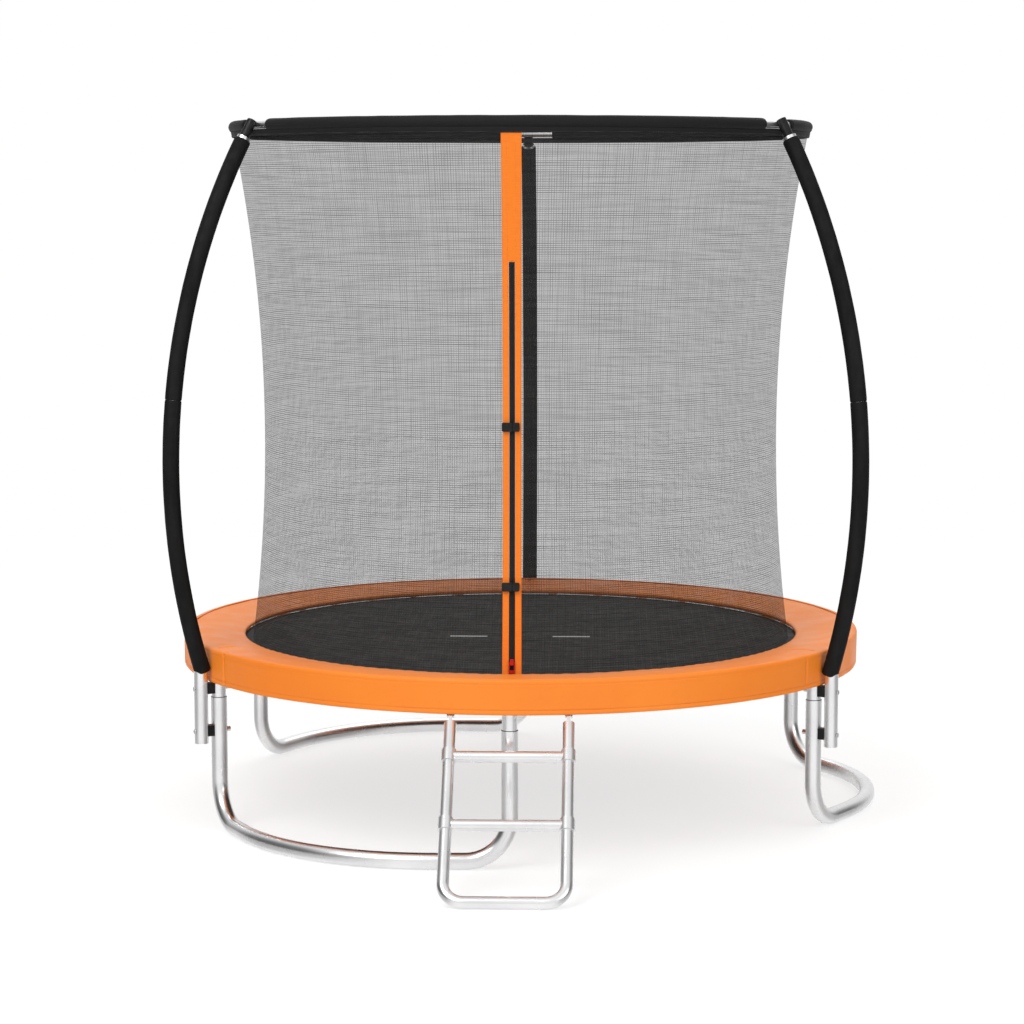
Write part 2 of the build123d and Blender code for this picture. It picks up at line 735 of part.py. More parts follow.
def buckle(number, height):
    """Side-release buckle across the zip: a hollow socket, and a tongue with two prongs."""
    out = net_thickness + zip_clearance + door_band_thickness + buckle_stand_off
    plane = door_plane(height, out)
    left = -buckle_socket_length + buckle_clearance
    cavity = buckle_thickness - 2 * buckle_wall
    with BuildPart() as socket:
        with BuildSketch(plane):
            with Locations((left + buckle_socket_length / 2, 0)):
                RectangleRounded(buckle_socket_length, buckle_width, buckle_width / 6)
        extrude(amount=buckle_thickness)
        fillet(socket.edges().group_by(Axis.Y)[0], radius=buckle_wall / 2)
        with BuildSketch(plane.offset(buckle_wall)):
            with Locations((0, 0)):
                Rectangle(2 * (prong_length + prong_root), buckle_width - 2 * buckle_wall)
        extrude(amount=cavity, mode=Mode.SUBTRACT)
    write(socket, f"buckle_{number}_socket")
    prong = cavity - 2 * buckle_clearance
    with BuildPart() as tongue:
        with BuildSketch(plane):
            with Locations((2 * buckle_clearance + buckle_tongue_length / 2, 0)):
                RectangleRounded(buckle_tongue_length, buckle_width, buckle_width / 6)
        extrude(amount=buckle_thickness)
        fillet(tongue.edges().group_by(Axis.Y)[0], radius=buckle_wall / 2)
        offset_y = buckle_width / 2 - buckle_wall - buckle_clearance - prong_width / 2
        middle = prong_root - prong_length / 2
        with BuildSketch(plane.offset(buckle_wall + buckle_clearance)):
            with Locations((middle, offset_y), (middle, -offset_y)):
                Rectangle(prong_length, prong_width)
            with Locations((middle, 0)):
                Rectangle(prong_length, prong_width / 2)
        extrude(amount=prong)
    write(tongue, f"buckle_{number}_tongue")


# ---- Ladder ----


def ladder_plane(along=0.0, out=0.0):
    """Plane of the ladder: local X across it, local Y up its rails, from a distance up them."""
    up = (ladder_pin - ladder_foot).normalized()
    normal = Vector(1, 0, 0).cross(up)
    return Plane(origin=ladder_foot + up * along + normal * out, x_dir=(1, 0, 0), z_dir=normal)


def ladder_frame():
    """One tube bent into a U: the foot bar and both rails."""
    half = ladder_width / 2
    rail_end = ladder_length - lug_reach
    with BuildPart() as frame:
        with BuildLine(ladder_plane()):
            FilletPolyline(
                (-half, rail_end), (-half, 0), (half, 0), (half, rail_end), radius=ladder_corner_radius
            )
        up = ladder_plane().y_dir
        place = ladder_foot + up * rail_end - Vector(half, 0, 0)
        with BuildSketch(Plane(origin=place, z_dir=up)):
            Circle(ladder_tube / 2)
            Circle(ladder_tube / 2 - tube_wall, mode=Mode.SUBTRACT)
        sweep()
    write(frame, "ladder_frame")


def ladder_lugs():
    """Flat lugs in the rails' open ends, with the eyes that turn on the pins."""
    start = ladder_length - lug_reach - lug_tube_overlap
    inside = ladder_tube - 2 * tube_wall - 2 * collar_clearance
    with BuildPart() as lugs:
        for side in (-1, 1):
            x = side * ladder_width / 2
            with BuildSketch(ladder_plane()):
                with Locations((x, (start + ladder_length) / 2)):
                    Rectangle(lug_thickness, ladder_length - start)
            extrude(amount=min(lug_width, inside) / 2, both=True)
            across = Plane(origin=ladder_pin, x_dir=(0, 1, 0), z_dir=(1, 0, 0)).offset(x)
            with BuildSketch(across):
                Circle(lug_width / 2)
            extrude(amount=lug_thickness / 2, both=True)
            with BuildSketch(across):
                Circle(pin_diameter / 2 + pin_clearance)
            extrude(amount=lug_thickness, both=True, mode=Mode.SUBTRACT)
    write(lugs, "ladder_lugs")


def ladder_rung(node, along):
    """Step tube with a collar round each rail."""
    half = ladder_width / 2
    up = ladder_plane().y_dir
    centre = ladder_foot + up * along
    with BuildPart() as rung:
        with BuildSketch(Plane(origin=centre - Vector(half, 0, 0), z_dir=(1, 0, 0))):
            Circle(rung_diameter / 2)
        extrude(amount=ladder_width)
        for side in (-1, 1):
            base = centre + Vector(side * half, 0, 0) - up * (collar_length / 2)
            with BuildSketch(Plane(origin=base, z_dir=up)):
                Circle(collar_diameter / 2)
            extrude(amount=collar_length)
        with BuildSketch(Plane(origin=centre - Vector(half, 0, 0), z_dir=(1, 0, 0))):
            Circle(rung_diameter / 2 - tube_wall)
        extrude(amount=ladder_width, mode=Mode.SUBTRACT)
        for side in (-1, 1):
            base = centre + Vector(side * half, 0, 0) - up * collar_length
            with BuildSketch(Plane(origin=base, z_dir=up)):
                Circle(ladder_tube / 2 + collar_clearance)
            extrude(amount=2 * collar_length, mode=Mode.SUBTRACT)
    write(rung, node)


def ladder_brackets():
    """Forked brackets under the ring, one for each rail, and their pins."""
    inner = lug_thickness / 2 + bracket_side_gap
    outer = inner + bracket_plate
    seat = rail_diameter + 2 * bracket_clearance
    with BuildPart() as brackets:
        for side in (-1, 1):
            x = side * ladder_width / 2
            across = Plane(origin=(x, ladder_pin_y, 0), x_dir=(0, 1, 0), z_dir=(1, 0, 0))
            with BuildSketch(across):
                with Locations((0, ladder_pin_height)):
                    Circle(bracket_width / 2)
                with Locations((0, (ladder_pin_height + frame_height) / 2)):
                    Rectangle(bracket_width, frame_height - ladder_pin_height)
            extrude(amount=outer, both=True)
            with BuildSketch(across):
                slot_top = ladder_pin_height + lug_width / 2 + 2 * bracket_side_gap
                slot_bottom = ladder_pin_height - bracket_width
                with Locations((0, (slot_top + slot_bottom) / 2)):
                    Rectangle(2 * bracket_width, slot_top - slot_bottom)
            extrude(amount=inner, both=True, mode=Mode.SUBTRACT)
            with BuildSketch(across):
                with Locations((0, ladder_pin_height)):
                    Circle(pin_diameter / 2 + pin_clearance)
            extrude(amount=2 * outer, both=True, mode=Mode.SUBTRACT)
        section = ring_profile(door_azimuth - post_spacing / 2, frame_radius, frame_height, seat, 0)
        revolve(section, axis=Axis.Z, revolution_arc=post_spacing, mode=Mode.SUBTRACT)
    write(brackets, "ladder_brackets")
    with BuildPart() as pins:
        for side in (-1, 1):
            x = side * ladder_width / 2
            with BuildSketch(Plane(origin=(x, ladder_pin_y, ladder_pin_height), z_dir=(1, 0, 0))):
                Circle(pin_diameter / 2)
            extrude(amount=outer + bracket_side_gap, both=True)
            head = outer + bracket_side_gap
            for end in (-1, 1):
                start = Vector(x + end * head, ladder_pin_y, ladder_pin_height)
                with BuildSketch(Plane(origin=start, z_dir=(end, 0, 0))):
                    Circle(pin_head_share * pin_diameter / 2)
                extrude(amount=bracket_side_gap * 2)
    write(pins, "ladder_pins")


def main():
    os.makedirs("parts", exist_ok=True)
    for number in range(post_count):
        frame_rail(number)
    frame_sockets()
    legs()
    for number, azimuth in enumerate(pole_azimuths, start=1):
        pole_tubes(azimuth, number)
        pole_foam(azimuth, number)
    pole_caps()
    pole_spacers()
    pole_fasteners()
    top_ring()
    mat()
    springs()
    spring_links()
    spring_pad()
    enclosure_net()
    door()
    zip_slider()
    for number, height in enumerate(buckle_heights, start=1):
        buckle(number, height)
    ladder_frame()
    ladder_lugs()
    for number, name in enumerate(("lower", "upper")):
        ladder_rung(f"ladder_rung_{name}", ladder_first_rung + ladder_rung_spacing * number)
    ladder_brackets()


main()
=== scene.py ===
import math

import bpy
import numpy as np
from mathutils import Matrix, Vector, noise


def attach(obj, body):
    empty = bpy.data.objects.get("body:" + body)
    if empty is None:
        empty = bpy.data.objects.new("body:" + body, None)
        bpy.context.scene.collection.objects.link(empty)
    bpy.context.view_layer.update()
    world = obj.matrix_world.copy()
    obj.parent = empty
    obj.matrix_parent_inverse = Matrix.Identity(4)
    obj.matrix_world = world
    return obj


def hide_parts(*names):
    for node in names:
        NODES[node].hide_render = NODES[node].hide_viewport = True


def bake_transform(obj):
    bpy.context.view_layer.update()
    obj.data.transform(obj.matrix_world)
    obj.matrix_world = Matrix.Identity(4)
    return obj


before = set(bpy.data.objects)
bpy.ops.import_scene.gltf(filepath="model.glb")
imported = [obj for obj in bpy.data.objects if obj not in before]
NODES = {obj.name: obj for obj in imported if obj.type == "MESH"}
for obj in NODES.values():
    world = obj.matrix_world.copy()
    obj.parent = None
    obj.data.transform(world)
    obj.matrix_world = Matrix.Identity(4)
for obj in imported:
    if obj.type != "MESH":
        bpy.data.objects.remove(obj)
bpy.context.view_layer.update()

# Round garden trampoline: net, pad, mat, springs, sleeves and materials around the CAD frame.
# Metres. +Z is up, the floor is z = 0, and the door and ladder face -Y.

TAU = 2 * math.pi

# ---- Sizes shared with the CAD part ----
MAT_RADIUS = 0.762
MAT_TOP = 0.450
PAD_INNER = 0.755
PAD_OUTER = 0.922
PAD_TOP = 0.478
SKIRT_BOTTOM = 0.389
POLES = (90.0, 210.0, 330.0)
DOOR = 270.0
NET_WAIST = 0.696
NET_WAIST_Z = 1.010
NET_CURVE = 4.218
NET_BOTTOM = 0.4505
NET_TOP = 1.8145
BAND_HALF = 0.023
ZIP_HALF = 0.007
ZIP_TOP = 1.488
RING_RADIUS = 0.771
RING_Z = 1.831

# ---- Sizes and shades of the visual model ----
HEM_BOTTOM = 1.8035
HEM_TOP = 1.8185
LEG_TOP = 0.348
FOAM_BOTTOM = 0.417
FOAM_JOINT = 1.128
FOAM_TOP = 1.793
FLOOR_SHADE = 0.4
WORLD_BRIGHT = 0.85
WORLD_DARK = 0.10


# ---- Mesh helpers ----


def add_object(name, points, faces, material, cloth=None):
    """New smooth-shaded mesh object; cloth holds each point's place on the flat cloth."""
    mesh = bpy.data.meshes.new(name)
    mesh.from_pydata([tuple(map(float, p)) for p in points], [], [tuple(map(int, f)) for f in faces])
    if cloth is not None:
        layer = mesh.attributes.new("cloth", "FLOAT_VECTOR", "POINT")
        layer.data.foreach_set("vector", np.asarray(cloth, np.float32).ravel())
    mesh.materials.append(material)
    mesh.polygons.foreach_set("use_smooth", [True] * len(mesh.polygons))
    obj = bpy.data.objects.new(name, mesh)
    bpy.context.scene.collection.objects.link(obj)
    return obj


def grid_faces(rows, columns, wrap_rows=False, wrap_columns=False, keep=None):
    """Quads of a grid of points stored row after row."""
    faces = []
    for i in range(rows if wrap_rows else rows - 1):
        for j in range(columns if wrap_columns else columns - 1):
            if keep is not None and not keep[i][j]:
                continue
            i2, j2 = (i + 1) % rows, (j + 1) % columns
            faces.append((i * columns + j, i2 * columns + j, i2 * columns + j2, i * columns + j2))
    return faces


def add_slab(name, front, back, material, cloth, wrap=False, keep=None):
    """Closed thin sheet between two grids of points, with a rim round every open edge."""
    rows, columns = front.shape[:2]
    faces = grid_faces(rows, columns, wrap_rows=wrap, keep=keep)
    count = rows * columns
    uses = {}
    for face in faces:
        for a, b in zip(face, face[1:] + face[:1]):
            uses[(a, b)] = uses.get((a, b), 0) + 1
    rim = [(b, a, a + count, b + count) for a, b in uses if (b, a) not in uses]
    backs = [tuple(k + count for k in reversed(face)) for face in faces]
    points = np.concatenate([front.reshape(-1, 3), back.reshape(-1, 3)])
    flat = np.asarray(cloth, float).reshape(-1, 3)
    cloth_points = np.concatenate([flat, flat])
    used = sorted({k for face in faces for k in face})
    used += [k + count for k in used]
    place = {k: i for i, k in enumerate(used)}
    every = [tuple(place[k] for k in face) for face in faces + backs + rim]
    return add_object(name, points[used], every, material, cloth_points[used])


def frames_along(points):
    """Tangent, side and up directions along a line of points, without twist."""
    points = np.asarray(points, float)
    tangents = np.gradient(points, axis=0)
    tangents /= np.linalg.norm(tangents, axis=1)[:, None]
    side = np.cross(tangents[0], (0.0, 0.0, 1.0))
    if np.linalg.norm(side) < 0.1:
        side = np.cross(tangents[0], (1.0, 0.0, 0.0))
    sides = []
    for tangent in tangents:
        side = side - tangent * (side @ tangent)
        side = side / np.linalg.norm(side)
        sides.append(side)
    sides = np.array(sides)
    return tangents, sides, np.cross(sides, tangents)


def add_tube(name, points, radius, material, around=12, shape=None, closed_ends=True):
    """Tube along a line of points; radius is a number or one number per point."""
    points = np.asarray(points, float)
    _, sides, ups = frames_along(points)
    radii = np.broadcast_to(radius, len(points))
    angles = np.arange(around) * TAU / around
    rings = []
    for k, (point, side, up, r) in enumerate(zip(points, sides, ups, radii)):
        for angle in angles:
            grow = shape(k, angle) if shape else 0.0
            rings.append(point + (side * math.cos(angle) + up * math.sin(angle)) * (r + grow))
    faces = grid_faces(len(points), around, wrap_columns=True)
    faces = [tuple(reversed(face)) for face in faces]
    if closed_ends:
        last = (len(points) - 1) * around
        faces.append(tuple(range(around)))
        faces.append(tuple(reversed(range(last, last + around))))
    return add_object(name, rings, faces, material)


def add_stitches(name, points, outs, material, length=0.0034, every=0.005, size=0.0005):
    """Row of raised thread stitches along a line of points; outs are the cloth's outward directions."""
    points, outs = np.asarray(points, float), np.asarray(outs, float)
    steps = np.linalg.norm(np.diff(points, axis=0), axis=1)
    along = np.concatenate([[0.0], np.cumsum(steps)])
    count = int(along[-1] / every)
    verts, faces = [], []
    for k in range(count):
        start = (k + 0.15) * every
        ends = [
            np.array([np.interp(s, along, points[:, c]) for c in range(3)]) for s in (start, start + length)
        ]
        out = np.array([np.interp(start, along, outs[:, c]) for c in range(3)])
        direction = ends[1] - ends[0]
        direction /= np.linalg.norm(direction)
        side = np.cross(direction, out)
        base = len(verts)
        for s, lift, wide in ((0.0, 0.0, 0.5), (0.3, 1.0, 1.0), (0.7, 1.0, 1.0), (1.0, 0.0, 0.5)):
            middle = ends[0] + (ends[1] - ends[0]) * s
            verts += [
                middle - side * size * wide - out * size * 0.4,
                middle + out * size * (0.15 + 0.85 * lift),
                middle + side * size * wide - out * size * 0.4,
            ]
        for s in range(3):
            a = base + 3 * s
            for p, q in ((0, 1), (1, 2), (2, 0)):
                faces.append((a + p, a + q, a + 3 + q, a + 3 + p))
        faces.append((base + 2, base + 1, base))
        faces.append((base + 9, base + 10, base + 11))
    return add_object(name, verts, faces, material)


# ---- Materials ----


class Finish:
    """A Principled material whose colour, roughness and relief come from procedural nodes."""

    def __init__(self, name, **values):
        self.material = bpy.data.materials.new(name)
        self.material.use_nodes = True
        self.tree = self.material.node_tree
        self.shader = self.tree.nodes["Principled BSDF"]
        for socket, value in values.items():
            self.shader.inputs[socket.replace("_", " ")].default_value = value
        self.relief = None

    def node(self, kind, links=(), **values):
        made = self.tree.nodes.new(kind)
        for key, value in values.items():
            setattr(made, key, value)
        for socket, source in dict(links).items():
            if hasattr(source, "is_output"):
                self.tree.links.new(source, made.inputs[socket])
            else:
                made.inputs[socket].default_value = source
        return made

    def place(self, scale=(1.0, 1.0, 1.0), attribute=None):
        """Coordinates in metres, from the cloth's flat places or the object itself, scaled."""
        if attribute:
            source = self.node("ShaderNodeAttribute", attribute_name=attribute).outputs["Vector"]
        else:
            source = self.node("ShaderNodeTexCoord").outputs["Object"]
        return self.node("ShaderNodeMapping", {"Vector": source, "Scale": scale}).outputs["Vector"]

    def noise(self, where, scale, detail=3.0, rough=0.5):
        return self.node(
            "ShaderNodeTexNoise", {"Vector": where, "Scale": scale, "Detail": detail, "Roughness": rough}
        ).outputs["Fac"]

    def span(self, value, low, high, start=0.3, end=0.7, smooth=True):
        """value between start and end, turned into low to high."""
        made = self.node(
            "ShaderNodeMapRange",
            {"Value": value, "From Min": start, "From Max": end, "To Min": low, "To Max": high},
            interpolation_type="SMOOTHSTEP" if smooth else "LINEAR",
        )
        return made.outputs["Result"]

    def maths(self, operation, a, b=0.0):
        return self.node("ShaderNodeMath", {0: a, 1: b}, operation=operation).outputs["Value"]

    def blend(self, fac, first, second):
        made = self.node("ShaderNodeMix", data_type="RGBA")
        for key, value in (("Factor_Float", fac), ("A_Color", first), ("B_Color", second)):
            socket = next(s for s in made.inputs if s.identifier == key)
            if hasattr(value, "is_output"):
                self.tree.links.new(value, socket)
            else:
                socket.default_value = value
        return next(s for s in made.outputs if s.identifier == "Result_Color")

    def split(self, where):
        return self.node("ShaderNodeSeparateXYZ", {"Vector": where}).outputs

    def set(self, socket, source):
        self.tree.links.new(source, self.shader.inputs[socket])

    def bump(self, height, distance, strength=1.0):
        """Adds relief of a depth in metres on top of what is there."""
        links = {"Height": height, "Distance": distance, "Strength": strength}
        if self.relief:
            links["Normal"] = self.relief
        self.relief = self.node("ShaderNodeBump", links).outputs["Normal"]
        self.set("Normal", self.relief)

    def threads(self, where, pitch):
        """Plain-weave height: crossing threads of a pitch in metres."""
        x, y, _ = self.split(where)
        wave_x = self.maths("SINE", self.maths("MULTIPLY", x, TAU / pitch))
        wave_y = self.maths("SINE", self.maths("MULTIPLY", y, TAU / pitch))
        return self.span(self.maths("MULTIPLY", wave_x, wave_y), 0.0, 1.0, -1.0, 1.0, False)


def rgb(r, g, b):
    return (r, g, b, 1.0)


def zinc(name, light, dark, rough_low, rough_high):
    """Galvanised steel: satin, with faint drawing lines and slightly duller patches."""
    f = Finish(name, Metallic=1.0)
    where = f.place()
    f.set("Base Color", f.blend(f.span(f.noise(where, 9.0, 4.0), 0.0, 1.0), light, dark))
    f.set("Roughness", f.span(f.noise(where, 6.0, 2.0), rough_low, rough_high))
    return f.material


def plastic(name, colour, worn, rough):
    """Moulded plastic with a fine texture and faintly paler worn places."""
    f = Finish(name, Specular_IOR_Level=0.22)
    where = f.place()
    f.set("Base Color", f.blend(f.span(f.noise(where, 60.0, 4.0), 0.0, 1.0), colour, worn))
    f.set("Roughness", f.span(f.noise(where, 120.0, 3.0), rough - 0.08, rough + 0.1))
    f.bump(f.noise(where, 900.0, 2.0), 0.00008)
    return f.material


def woven(name, colour, other, pitch, rough=0.75, depth=0.0003, sheen=0.04, shine=0.15, attribute="cloth"):
    """Woven webbing or cloth: crossing threads, tone that varies along the yarns, a little sheen."""
    f = Finish(name, Roughness=rough, Sheen_Weight=sheen, Sheen_Roughness=0.4, Specular_IOR_Level=shine)
    where = f.place(attribute=attribute)
    weave = f.threads(where, pitch)
    streak = f.noise(f.place((40.0, 600.0, 40.0), attribute), 1.0, 2.0)
    fac = f.maths("ADD", f.maths("MULTIPLY", weave, 0.5), f.span(streak, 0.0, 0.5))
    f.set("Base Color", f.blend(fac, colour, other))
    f.bump(weave, depth)
    return f.material


def foam_finish(name, colour, other):
    """Closed-cell foam skin: matt, finely pitted, with faint long scuffs."""
    f = Finish(name, Specular_IOR_Level=0.12)
    where = f.place()
    patches = f.span(f.noise(f.place((30.0, 30.0, 6.0)), 1.0, 4.0), 0.0, 1.0)
    f.set("Base Color", f.blend(patches, colour, other))
    f.set("Roughness", f.span(f.noise(where, 40.0, 3.0), 0.55, 0.75))
    f.bump(f.node("ShaderNodeTexVoronoi", {"Vector": where, "Scale": 700.0}).outputs["Distance"], 0.00015)
    f.bump(f.noise(where, 60.0, 3.0), 0.0005)
    return f.material


def pad_finish(name):
    """Coated polyester: orange, slightly glossy, the base cloth's weave showing through, soft creases."""
    f = Finish(name, Coat_Weight=0.04, Coat_Roughness=0.35, Specular_IOR_Level=0.25)
    cloth = f.place(attribute="cloth")
    where = f.place()
    broad = f.span(f.noise(where, 3.0, 3.0), 0.0, 1.0)
    tone = f.blend(broad, rgb(0.96, 0.262, 0.026), rgb(0.92, 0.235, 0.022))
    fine = f.maths("MULTIPLY", f.span(f.noise(where, 45.0, 4.0), 0.0, 1.0, 0.55, 0.8), 0.12)
    f.set("Base Color", f.blend(fine, tone, rgb(0.76, 0.16, 0.012)))
    f.set("Roughness", f.span(f.noise(where, 14.0, 4.0), 0.36, 0.52))
    f.bump(f.threads(cloth, 0.0016), 0.00008)
    f.bump(f.noise(f.place((9.0, 26.0, 9.0), "cloth"), 1.0, 3.0), 0.0012, 0.5)
    return f.material


def mat_finish(name):
    """Woven jumping cloth: black strap threads in a fine grid, pale printed guide lines."""
    f = Finish(name, Specular_IOR_Level=0.08)
    where = f.place()
    weave = f.threads(where, 0.0036)
    x, y, _ = f.split(where)
    lines = []
    for axis in (x, y):
        ping = f.maths("PINGPONG", axis, 0.011)
        lines.append(f.span(ping, 1.0, 0.0, 0.0, 0.0028))
    coarse = f.maths("MAXIMUM", lines[0], lines[1])
    patchy = f.span(f.noise(where, 6.0, 4.0), 0.35, 1.0)
    cloth = f.blend(f.maths("MULTIPLY", weave, 0.6), rgb(0.020, 0.020, 0.019), rgb(0.034, 0.034, 0.033))
    grid = f.maths("MULTIPLY", f.maths("MULTIPLY", coarse, patchy), 0.42)
    cloth = f.blend(grid, cloth, rgb(0.085, 0.085, 0.082))
    reach = f.maths("ABSOLUTE", x)
    near_end = f.span(reach, 0.0, 1.0, 0.0890, 0.0900)
    inside = f.maths("MULTIPLY", near_end, f.span(reach, 1.0, 0.0, 0.1910, 0.1920))
    across = f.span(f.maths("ABSOLUTE", f.maths("ADD", y, 0.051)), 1.0, 0.0, 0.0085, 0.0100)
    print_mask = f.maths("MULTIPLY", f.maths("MULTIPLY", inside, across), f.span(weave, 0.82, 1.0, 0.0, 1.0))
    f.set("Base Color", f.blend(print_mask, cloth, rgb(0.62, 0.62, 0.60)))
    f.set("Roughness", f.span(f.noise(where, 30.0, 3.0), 0.55, 0.72))
    f.bump(weave, 0.0003)
    f.bump(f.noise(where, 4.0, 3.0), 0.004, 0.35)
    return f.material


def net_finish(name):
    """Knitted safety net: dark threads with open holes between them, uneven from row to row."""
    f = Finish(name, Roughness=0.85, Specular_IOR_Level=0.1)
    where = f.place(attribute="cloth")
    x, y, _ = f.split(where)
    rows = f.span(f.maths("PINGPONG", y, 0.0028), 1.0, 0.0, 0.0004, 0.0011)
    columns = f.span(f.maths("PINGPONG", x, 0.0034), 1.0, 0.0, 0.0004, 0.0010)
    row_tone = f.span(f.noise(f.place((5.0, 260.0, 1.0), "cloth"), 1.0, 3.0), 0.20, 1.0, 0.3, 0.68)
    column_tone = f.span(f.noise(f.place((210.0, 6.0, 1.0), "cloth"), 1.0, 3.0), 0.20, 0.85, 0.3, 0.68)
    toned_rows = f.maths("MULTIPLY", rows, row_tone)
    threads = f.maths("MAXIMUM", toned_rows, f.maths("MULTIPLY", columns, column_tone))
    f.set("Alpha", f.span(threads, 0.27, 0.74, 0.0, 1.0, False))
    f.set("Base Color", f.blend(row_tone, rgb(0.060, 0.060, 0.059), rgb(0.020, 0.020, 0.020)))
    f.bump(threads, 0.0004)
    return f.material


def thread_finish(name, colour, other):
    f = Finish(name, Roughness=0.7, Sheen_Weight=0.2)
    f.set("Base Color", f.blend(f.span(f.noise(f.place(), 300.0), 0.0, 1.0), colour, other))
    f.bump(f.noise(f.place(), 1500.0, 1.0), 0.0001)
    return f.material


ZINC = zinc("galvanised_tube", rgb(0.90, 0.90, 0.90), rgb(0.82, 0.82, 0.83), 0.24, 0.30)
HARDWARE = zinc("zinc_hardware", rgb(0.72, 0.72, 0.70), rgb(0.55, 0.55, 0.54), 0.22, 0.34)
BLACK = plastic("black_plastic", rgb(0.007, 0.007, 0.007), rgb(0.014, 0.014, 0.014), 0.40)
RED = plastic("red_zip", rgb(0.55, 0.012, 0.014), rgb(0.42, 0.010, 0.010), 0.32)
FOAM = foam_finish("foam_sleeve", rgb(0.006, 0.006, 0.006), rgb(0.011, 0.011, 0.011))
SLEEVE = woven("ring_sleeve", rgb(0.008, 0.008, 0.008), rgb(0.016, 0.016, 0.016), 0.003, 0.7, 0.0002)
WEBBING = woven("webbing", rgb(0.015, 0.015, 0.016), rgb(0.040, 0.040, 0.042), 0.0024)
BAND = woven("door_band", rgb(0.94, 0.242, 0.024), rgb(0.84, 0.190, 0.016), 0.0016, 0.65, 0.0002)
TAPE = woven("zip_tape", rgb(0.012, 0.012, 0.013), rgb(0.030, 0.030, 0.031), 0.0014, 0.7, 0.0002)
PAD = pad_finish("pad_cover")
MAT = mat_finish("mat_fabric")
NET = net_finish("net_mesh")
THREAD_DARK = thread_finish("stitching_dark", rgb(0.020, 0.020, 0.020), rgb(0.05, 0.05, 0.05))
THREAD_ORANGE = thread_finish("stitching_orange", rgb(0.62, 0.13, 0.012), rgb(0.90, 0.22, 0.03))

FINISHES = {
    "galvanised_tube": ZINC,
    "zinc_hardware": HARDWARE,
    "black_plastic": BLACK,
    "red_zip": RED,
}


def finish_of(node):
    if node in ("pole_bolts", "pole_nuts", "ladder_pins"):
        return "zinc_hardware"
    if node.startswith("buckle") or node in ("pole_caps", "pole_spacers"):
        return "black_plastic"
    if node.startswith("zip_") and node != "zip_tape":
        return "red_zip"
    return "galvanised_tube"


def dress_frame():
    """Gives every CAD node its material; cloth and foam nodes are replaced further down."""
    for name, obj in NODES.items():
        obj.data.materials.clear()
        obj.data.materials.append(FINISHES[finish_of(name)])


# ---- Places on the object ----


def around(azimuth, radius, z):
    a = math.radians(azimuth)
    return np.array([radius * math.cos(a), radius * math.sin(a), z])


def net_radius(z, out=0.0):
    """Radius of the net's inner face at a height, or of a surface further out from it."""
    return NET_WAIST + NET_CURVE - math.sqrt((NET_CURVE - out) ** 2 - (z - NET_WAIST_Z) ** 2)


def follow_mat(obj):
    """Bakes the object's transform into its mesh; used for the net, the door and what is sewn to them."""
    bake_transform(obj)
    return obj


# ---- Safety net ----


def make_net():
    """Waisted knitted net from the mat's edge to the top ring, open behind the zip."""
    slit = (ZIP_HALF + 0.0004) / NET_WAIST
    columns, rows = 360, 110
    angles = math.radians(DOOR) + slit + np.linspace(0.0, TAU - 2 * slit, columns)
    heights = np.linspace(NET_BOTTOM, NET_TOP, rows)
    points, cloth = [], []
    for angle in angles:
        for z in heights:
            ripple = 0.0006 * noise.noise(Vector((angle * 9.0, z * 2.0, 0.0)))
            radius = net_radius(z, 0.001) + ripple
            points.append((radius * math.cos(angle), radius * math.sin(angle), z))
            cloth.append((angle * 0.73, z, 0.0))
    net = add_object("safety_net", points, grid_faces(columns, rows), NET, cloth)
    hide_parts("enclosure_net")
    follow_mat(net)
    return net


def make_hem():
    """Black binding folded over the net's top edge, below the ring's sleeve, outside the door band."""
    heights = [HEM_BOTTOM, HEM_BOTTOM + 0.0006, HEM_BOTTOM + 0.004, 1.810, 1.814, HEM_TOP]
    columns = 360
    front, back, cloth = [], [], []
    for i in range(columns):
        angle = i * TAU / columns
        x, y = math.cos(angle), math.sin(angle)
        front_row, back_row, flat_row = [], [], []
        for n, z in enumerate(heights):
            r = net_radius(z, 0.0062 if n else 0.0052) + 0.0003 * math.sin(i * 0.9)
            front_row.append((r * x, r * y, z))
            r = net_radius(z, -0.0016 if n else -0.0008)
            back_row.append((r * x, r * y, z))
            flat_row.append((angle * 0.77, z, 0.0))
        front.append(front_row)
        back.append(back_row)
        cloth.append(flat_row)
    hem = add_slab("net_top_binding", np.array(front), np.array(back), SLEEVE, cloth, wrap=True)
    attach(hem, "frame")
    turns = np.linspace(0, TAU, 900)
    radius = net_radius(HEM_BOTTOM + 0.003, 0.0063)
    line = [(radius * math.cos(a), radius * math.sin(a), HEM_BOTTOM + 0.003) for a in turns]
    outs = [(math.cos(a), math.sin(a), 0.0) for a in turns]
    row = add_stitches("net_binding_stitching", line, outs, THREAD_DARK)
    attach(row, "frame")


def make_leg_seat_shade_rings():
    """Thin black ring of painted shade in the joint where each socket's stub enters its leg."""
    for k in range(6):
        centre = around(30.0 + 60.0 * k, 0.896, LEG_TOP + 0.0006)
        turns = np.linspace(0, TAU, 33)
        line = [centre + np.array([0.0199 * math.cos(a), 0.0199 * math.sin(a), 0.0]) for a in turns]
        # Black ring standing in for the shadow in the joint: painted shade, not a part of the frame.
        ring = add_tube(f"leg_seat_shade_ring_{k + 1}", line, 0.0008, BLACK, around=6)
        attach(ring, "frame")


# ---- Door band and zip ----


def band_point(x, z, out):
    """A point on the door at a sideways distance from its middle, standing out from the net."""
    radius = net_radius(z, out)
    angle = math.radians(DOOR) + x / NET_WAIST
    return np.array([radius * math.cos(angle), radius * math.sin(angle), z])


